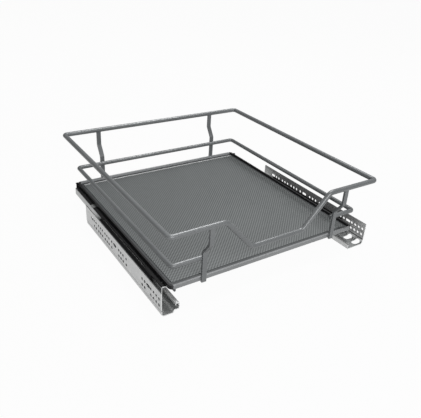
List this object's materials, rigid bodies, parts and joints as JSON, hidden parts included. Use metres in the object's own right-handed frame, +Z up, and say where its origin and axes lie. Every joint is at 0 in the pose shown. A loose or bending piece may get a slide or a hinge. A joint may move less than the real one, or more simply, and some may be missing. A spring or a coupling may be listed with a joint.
{
  "type": "pull-out cabinet basket",
  "caption": "Wire-railed pull-out tray on a pair of concealed cabinet runners, with a lowered front rail, a grip mat and soft-close units.",
  "frame": {"origin": "on the floor plane under the runners, below the middle of the upper ring", "axes": "+X to the right seen from the front, +Y to the back of the cabinet (the basket pulls out along -Y), +Z up"},
  "size_m": [0.464, 0.477, 0.153],
  "materials": {
    "coated_wire": "satin anthracite powder coat",
    "coated_sheet": "satin anthracite powder coat",
    "mat": "matt grey with a fine diamond grip texture",
    "galvanised_sheet": "zinc-plated, slightly satin",
    "bright_steel": "turned steel",
    "black_plastic": "matt black moulding",
    "cage_plastic": "dark grey moulding",
    "roller_plastic": "smooth natural plastic",
    "clip_plastic": "dark grey moulding",
    "buffer_rubber": "matt"
  },
  "bodies": {
    "cabinet_rails": {"cabinet_profile_left": "galvanised_sheet", "damper_housing_left": "black_plastic", "damper_cylinder_left": "bright_steel", "stop_buffer_left": "buffer_rubber", "cabinet_profile_right": "galvanised_sheet", "damper_housing_right": "black_plastic", "damper_cylinder_right": "bright_steel", "stop_buffer_right": "buffer_rubber"},
    "basket": {"upper_ring": "coated_wire", "lower_ring": "coated_wire", "tray_rim": "coated_wire", "base_panel": "coated_sheet", "anti_slip_mat": "mat", "tray_rivets": "bright_steel", "cover_screws": "bright_steel", "front_post_left": "coated_wire", "rear_post_left": "coated_wire", "drawer_profile_left": "galvanised_sheet", "cover_strip_front_left": "black_plastic", "cover_strip_rear_left": "black_plastic", "rear_lug_left": "black_plastic", "activator_pin_left": "bright_steel", "front_clip_left": "clip_plastic", "front_post_right": "coated_wire", "rear_post_right": "coated_wire", "drawer_profile_right": "galvanised_sheet", "cover_strip_front_right": "black_plastic", "cover_strip_rear_right": "black_plastic", "rear_lug_right": "black_plastic", "activator_pin_right": "bright_steel", "front_clip_right": "clip_plastic"},
    "middle_left": {"middle_profile_left": "galvanised_sheet"},
    "catch_left": {"soft_close_catch_left": "black_plastic", "damper_rod_left": "bright_steel"},
    "lower_cage_left": {"lower_roller_cage_left": "cage_plastic"},
    "upper_cage_left": {"upper_roller_cage_left": "cage_plastic"},
    "lever_left": {"clip_lever_left": "clip_plastic"},
    "lower_roller_front_left": {"lower_roller_front_left": "roller_plastic"},
    "upper_roller_front_left": {"upper_roller_front_left": "roller_plastic"},
    "lower_roller_rear_left": {"lower_roller_rear_left": "roller_plastic"},
    "upper_roller_rear_left": {"upper_roller_rear_left": "roller_plastic"},
    "middle_right": {"middle_profile_right": "galvanised_sheet"},
    "catch_right": {"soft_close_catch_right": "black_plastic", "damper_rod_right": "bright_steel"},
    "lower_cage_right": {"lower_roller_cage_right": "cage_plastic"},
    "upper_cage_right": {"upper_roller_cage_right": "cage_plastic"},
    "lever_right": {"clip_lever_right": "clip_plastic"},
    "lower_roller_front_right": {"lower_roller_front_right": "roller_plastic"},
    "upper_roller_front_right": {"upper_roller_front_right": "roller_plastic"},
    "lower_roller_rear_right": {"lower_roller_rear_right": "roller_plastic"},
    "upper_roller_rear_right": {"upper_roller_rear_right": "roller_plastic"}
  },
  "joints": [
    {"name": "basket_slide", "type": "slide", "parent": "cabinet_rails", "child": "basket", "axis": [0, -1, 0], "range_m": [0, 0.42]},
    {"name": "middle_slide_left", "type": "slide", "parent": "cabinet_rails", "child": "middle_left", "axis": [0, -1, 0], "range_m": [0, 0.21]},
    {"name": "lower_cage_slide_left", "type": "slide", "parent": "cabinet_rails", "child": "lower_cage_left", "axis": [0, -1, 0], "range_m": [0, 0.105]},
    {"name": "upper_cage_slide_left", "type": "slide", "parent": "cabinet_rails", "child": "upper_cage_left", "axis": [0, -1, 0], "range_m": [0, 0.315]},
    {"name": "lower_roller_spin_front_left", "type": "hinge", "parent": "lower_cage_left", "child": "lower_roller_front_left", "pos_m": [-0.2188, -0.11195, 0.00625], "axis": [1, 0, 0], "range_deg": [0, 1353]},
    {"name": "upper_roller_spin_front_left", "type": "hinge", "parent": "upper_cage_left", "child": "upper_roller_front_left", "pos_m": [-0.2118, -0.03695, 0.02225], "axis": [1, 0, 0], "range_deg": [0, 638]},
    {"name": "lower_roller_spin_rear_left", "type": "hinge", "parent": "lower_cage_left", "child": "lower_roller_rear_left", "pos_m": [-0.2188, -0.02205, 0.00625], "axis": [1, 0, 0], "range_deg": [0, 1353]},
    {"name": "upper_roller_spin_rear_left", "type": "hinge", "parent": "upper_cage_left", "child": "upper_roller_rear_left", "pos_m": [-0.2118, 0.04295, 0.02225], "axis": [1, 0, 0], "range_deg": [0, 638]},
    {"name": "catch_slide_left", "type": "slide", "parent": "cabinet_rails", "child": "catch_left", "axis": [0, -1, 0], "range_m": [0, 0.04]},
    {"name": "lever_pivot_left", "type": "hinge", "parent": "basket", "child": "lever_left", "pos_m": [-0.1822, -0.18, 0.0295], "axis": [0, 0, 1], "range_deg": [0, 12], "stiffness_Nm_per_rad": 0.05},
    {"name": "middle_slide_right", "type": "slide", "parent": "cabinet_rails", "child": "middle_right", "axis": [0, -1, 0], "range_m": [0, 0.21]},
    {"name": "lower_cage_slide_right", "type": "slide", "parent": "cabinet_rails", "child": "lower_cage_right", "axis": [0, -1, 0], "range_m": [0, 0.105]},
    {"name": "upper_cage_slide_right", "type": "slide", "parent": "cabinet_rails", "child": "upper_cage_right", "axis": [0, -1, 0], "range_m": [0, 0.315]},
    {"name": "lower_roller_spin_front_right", "type": "hinge", "parent": "lower_cage_right", "child": "lower_roller_front_right", "pos_m": [0.2188, -0.11195, 0.00625], "axis": [1, 0, 0], "range_deg": [0, 1353]},
    {"name": "upper_roller_spin_front_right", "type": "hinge", "parent": "upper_cage_right", "child": "upper_roller_front_right", "pos_m": [0.2118, -0.03695, 0.02225], "axis": [1, 0, 0], "range_deg": [0, 638]},
    {"name": "lower_roller_spin_rear_right", "type": "hinge", "parent": "lower_cage_right", "child": "lower_roller_rear_right", "pos_m": [0.2188, -0.02205, 0.00625], "axis": [1, 0, 0], "range_deg": [0, 1353]},
    {"name": "upper_roller_spin_rear_right", "type": "hinge", "parent": "upper_cage_right", "child": "upper_roller_rear_right", "pos_m": [0.2118, 0.04295, 0.02225], "axis": [1, 0, 0], "range_deg": [0, 638]},
    {"name": "catch_slide_right", "type": "slide", "parent": "cabinet_rails", "child": "catch_right", "axis": [0, -1, 0], "range_m": [0, 0.04]},
    {"name": "lever_pivot_right", "type": "hinge", "parent": "basket", "child": "lever_right", "pos_m": [0.1822, -0.18, 0.0295], "axis": [0, 0, -1], "range_deg": [0, 12], "stiffness_Nm_per_rad": 0.05}
  ],
  "couplings": [
    {"joint": "middle_slide_left", "follows": "basket_slide", "ratio": 0.5},
    {"joint": "lower_cage_slide_left", "follows": "basket_slide", "ratio": 0.25},
    {"joint": "upper_cage_slide_left", "follows": "basket_slide", "ratio": 0.75},
    {"joint": "lower_roller_spin_front_left", "follows": "basket_slide", "rad_per_m": 56.18},
    {"joint": "upper_roller_spin_front_left", "follows": "basket_slide", "rad_per_m": 26.455},
    {"joint": "lower_roller_spin_rear_left", "follows": "basket_slide", "rad_per_m": 56.18},
    {"joint": "upper_roller_spin_rear_left", "follows": "basket_slide", "rad_per_m": 26.455},
    {"joint": "middle_slide_right", "follows": "basket_slide", "ratio": 0.5},
    {"joint": "lower_cage_slide_right", "follows": "basket_slide", "ratio": 0.25},
    {"joint": "upper_cage_slide_right", "follows": "basket_slide", "ratio": 0.75},
    {"joint": "lower_roller_spin_front_right", "follows": "basket_slide", "rad_per_m": 56.18},
    {"joint": "upper_roller_spin_front_right", "follows": "basket_slide", "rad_per_m": 26.455},
    {"joint": "lower_roller_spin_rear_right", "follows": "basket_slide", "rad_per_m": 56.18},
    {"joint": "upper_roller_spin_rear_right", "follows": "basket_slide", "rad_per_m": 26.455}
  ]
}
